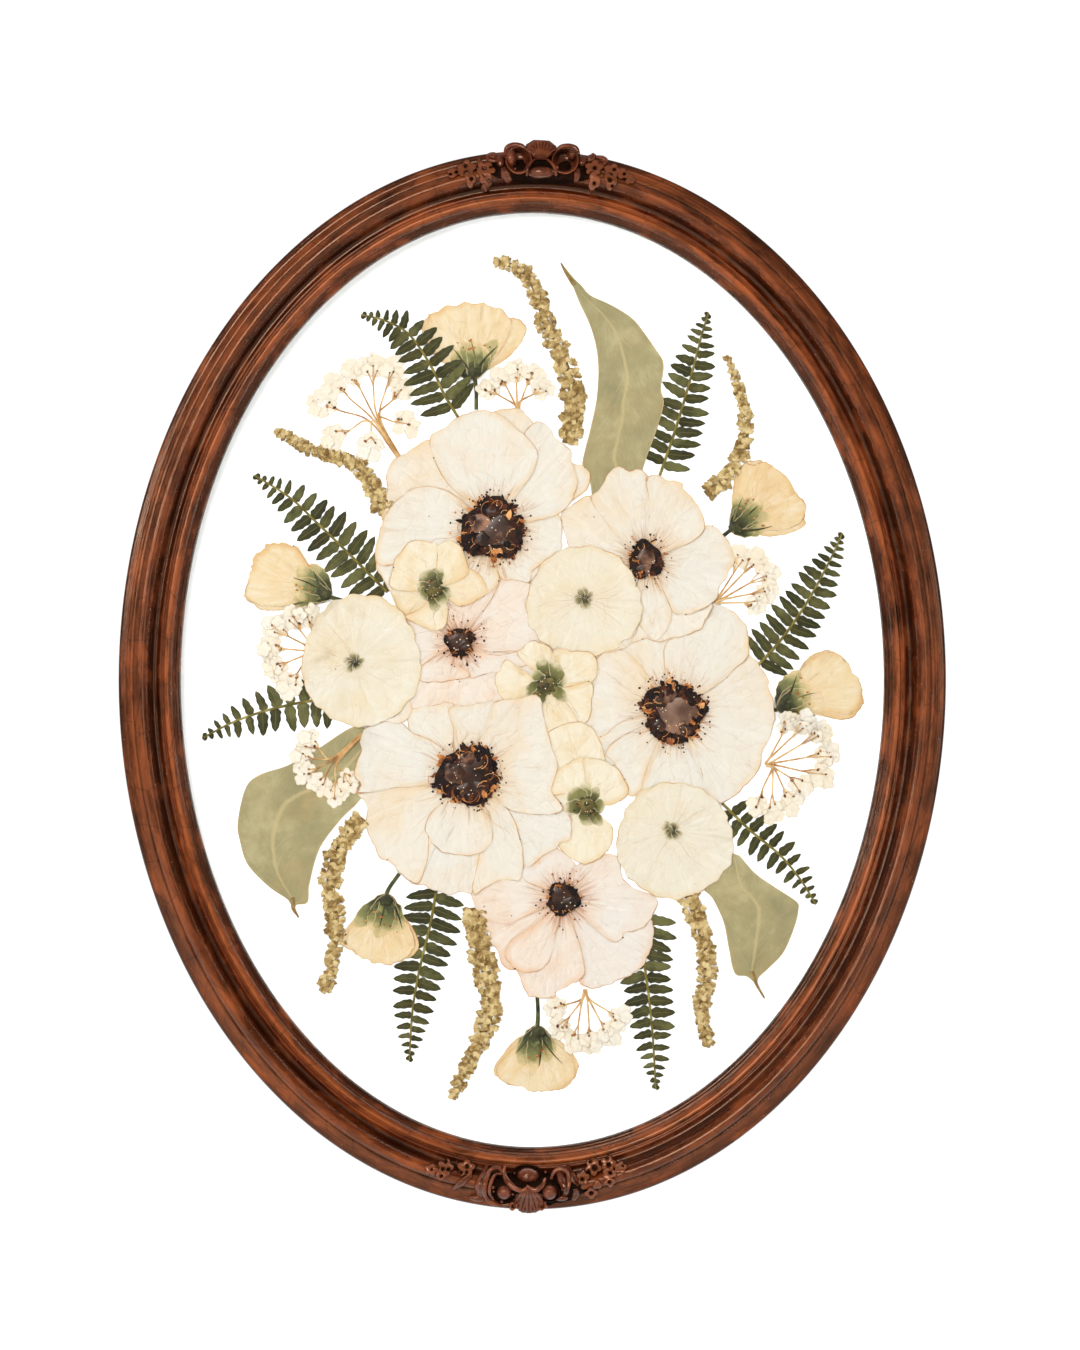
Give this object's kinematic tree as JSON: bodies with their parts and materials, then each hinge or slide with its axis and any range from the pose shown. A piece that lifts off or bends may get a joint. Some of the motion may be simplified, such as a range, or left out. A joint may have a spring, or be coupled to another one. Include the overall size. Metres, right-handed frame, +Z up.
{
  "type": "pressed flower frame",
  "caption": "Oval carved wooden frame with pressed anemones, petals, ferns, leaves and white sprays arranged on a white mat behind glass.",
  "frame": {"origin": "centre of the dust cover's back, in the plane of the wall that the frame hangs on", "axes": "+Z up along the frame's height, -Y forwards out of the wall through the glass, +X to the viewer's right"},
  "size_m": [0.347, 0.0302, 0.4507],
  "materials": {
    "copper_brown_wood": "polished mottled copper-brown stain",
    "carved_wood": "carved, dark copper-brown stain",
    "clear_glass": "clear picture glass",
    "white_card": "matt white",
    "grey_board": "matt grey-brown",
    "kraft_paper": "matt brown kraft",
    "brassy_steel": "brass-plated steel",
    "cream_petal": "dried cream petals, matt and slightly translucent",
    "pink_petal": "dried pink-cream petals, matt",
    "bud_petal": "dried yellow-cream petals with a green calyx, matt",
    "fern_green": "dried dark green fern, matt",
    "sage_leaf": "dried sage-green leaf, matt",
    "straw_spike": "dried straw-coloured flower spike, matt",
    "white_floret": "dried white flower spray, matt"
  },
  "bodies": {
    "root": {"anemone_bottom_pink": "pink_petal", "anemone_left": "cream_petal", "anemone_middle_pink": "pink_petal", "anemone_right": "cream_petal", "anemone_top_left": "cream_petal", "anemone_top_right": "cream_petal", "backing_board": "grey_board", "bottom_ornament": "carved_wood", "dust_cover": "kraft_paper", "fern_bottom_left": "fern_green", "fern_bottom_right": "fern_green", "fern_left": "fern_green", "fern_lower_left": "fern_green", "fern_lower_right": "fern_green", "fern_right": "fern_green", "fern_top_left": "fern_green", "fern_top_right": "fern_green", "glass_pane": "clear_glass", "glass_spacer": "white_card", "hanger_nail_left": "brassy_steel", "hanger_nail_right": "brassy_steel", "leaf_lower_left": "sage_leaf", "leaf_lower_right": "sage_leaf", "leaf_top": "sage_leaf", "mat_board": "white_card", "oval_frame": "copper_brown_wood", "round_petal_bottom": "cream_petal", "round_petal_left": "cream_petal", "round_petal_top": "cream_petal", "sawtooth_hanger": "brassy_steel", "side_flower_bottom": "bud_petal", "side_flower_left": "bud_petal", "side_flower_lower_left": "bud_petal", "side_flower_right": "bud_petal", "side_flower_top": "bud_petal", "side_flower_upper_right": "bud_petal", "small_flower_bottom": "cream_petal", "small_flower_left": "cream_petal", "small_flower_middle": "cream_petal", "spike_bottom_left": "straw_spike", "spike_bottom_right": "straw_spike", "spike_left": "straw_spike", "spike_lower_left": "straw_spike", "spike_top": "straw_spike", "spike_upper_right": "straw_spike", "spray_bottom": "white_floret", "spray_left": "white_floret", "spray_lower_left": "white_floret", "spray_right": "white_floret", "spray_top": "white_floret", "spray_upper_left": "white_floret", "spray_upper_right": "white_floret", "top_ornament": "carved_wood"}
  },
  "joints": []
}
